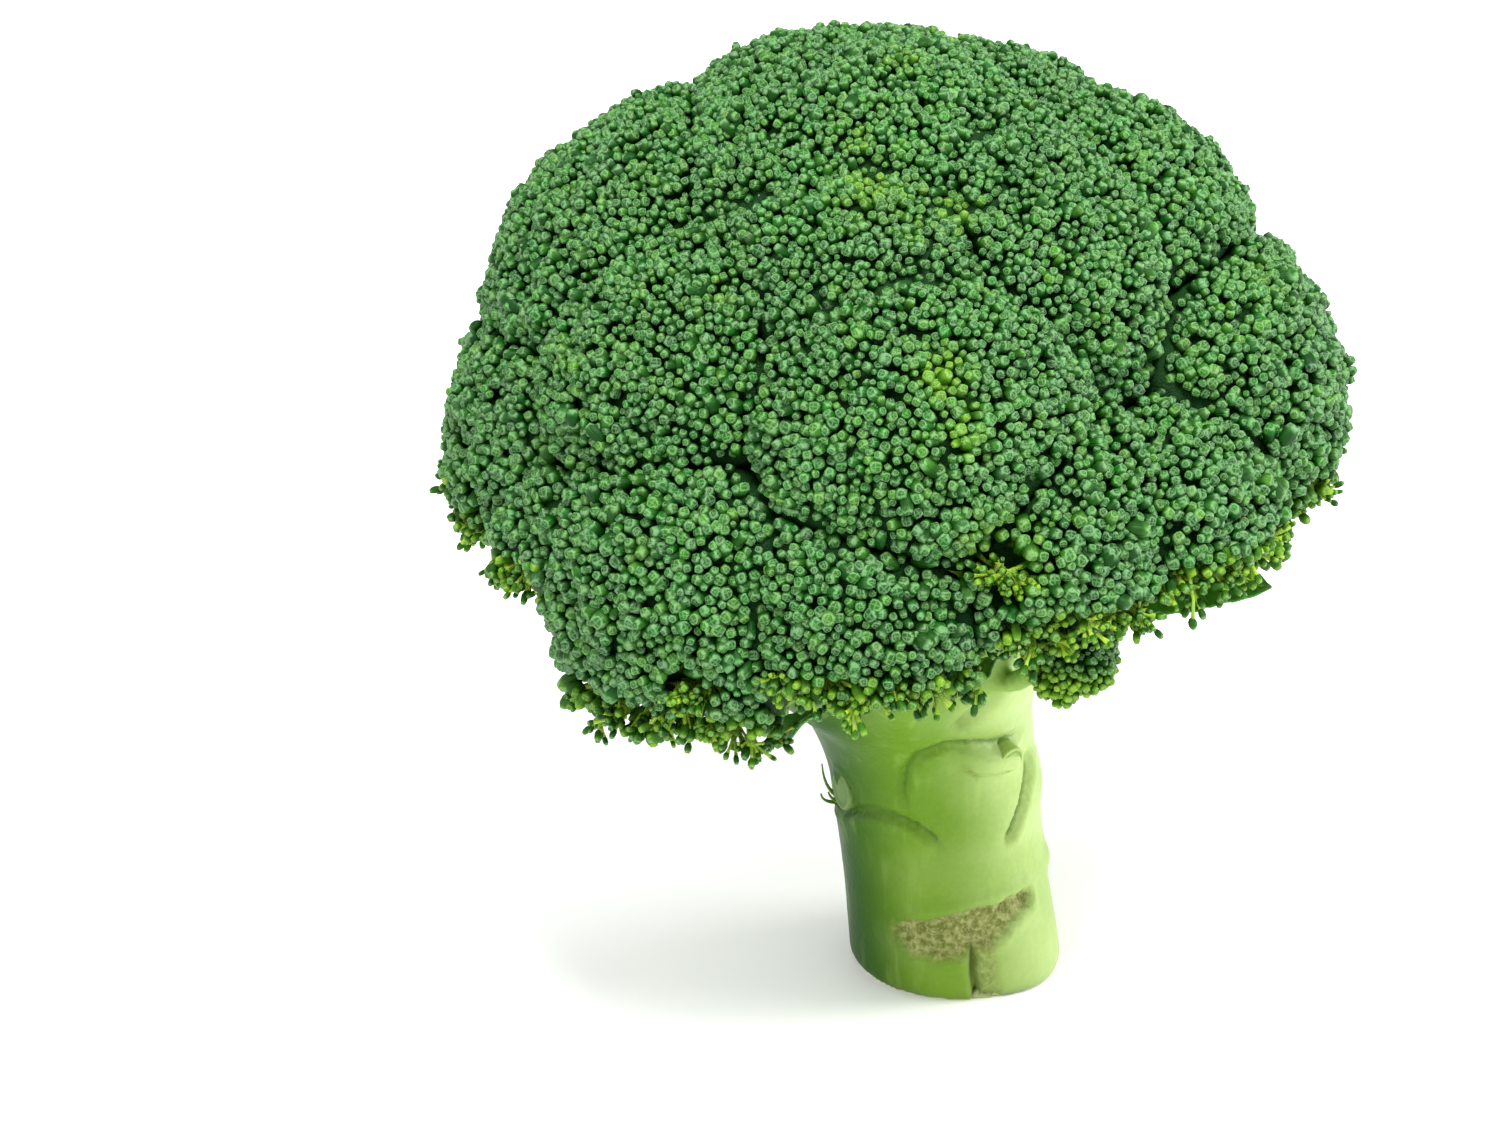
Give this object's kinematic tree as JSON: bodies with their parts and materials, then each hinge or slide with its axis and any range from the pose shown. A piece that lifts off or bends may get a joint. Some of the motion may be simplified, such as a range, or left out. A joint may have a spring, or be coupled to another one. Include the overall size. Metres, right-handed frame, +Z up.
{
  "type": "broccoli head",
  "caption": "Head of broccoli standing on its cut stalk, with a domed crown of packed green buds, forked stems and a few small leaves.",
  "frame": {"origin": "middle of the flat cut face that the stalk stands on", "axes": "+Z up along the standing height, -Y towards the viewer of the front, +X to the right of the front; the crown leans to -X"},
  "size_m": [0.1587, 0.1636, 0.1822],
  "materials": {
    "stalk": "pale yellow-green smooth plant skin, slightly waxy",
    "cut_pith": "pale, dried, cut plant tissue",
    "buds": "dark blue-green closed flower buds with a dull waxy bloom",
    "leaf": "dark green leaf, dull"
  },
  "bodies": {
    "root": {"main_stalk": "stalk", "leaf_stub_left": "cut_pith", "leaf_stub_right": "cut_pith", "stem_back": "stalk", "stem_back_left": "stalk", "stem_back_right": "stalk", "stem_back_top": "stalk", "stem_far_left": "stalk", "stem_front": "stalk", "stem_front_left": "stalk", "stem_left": "stalk", "stem_low_front": "stalk", "stem_low_front_right": "stalk", "stem_low_left": "stalk", "stem_low_middle": "stalk", "stem_low_right": "stalk", "stem_middle": "stalk", "stem_right": "stalk", "stem_shoulder_front": "stalk", "stem_shoulder_left": "stalk", "stem_shoulder_right": "stalk", "stem_top": "stalk", "stem_upper_right": "stalk", "head_back": "buds", "head_back_left": "buds", "head_back_right": "buds", "head_back_top": "buds", "head_far_left": "buds", "head_front": "buds", "head_front_left": "buds", "head_left": "buds", "head_low_front": "buds", "head_low_front_right": "buds", "head_low_left": "buds", "head_low_middle": "buds", "head_low_right": "buds", "head_middle": "buds", "head_right": "buds", "head_shoulder_front": "buds", "head_shoulder_left": "buds", "head_shoulder_right": "buds", "head_top": "buds", "head_upper_right": "buds", "side_shoot_head": "buds", "side_shoot_stem": "stalk", "leaf_right": "leaf", "leaf_small": "leaf", "leaf_under_crown": "leaf"}
  },
  "joints": []
}
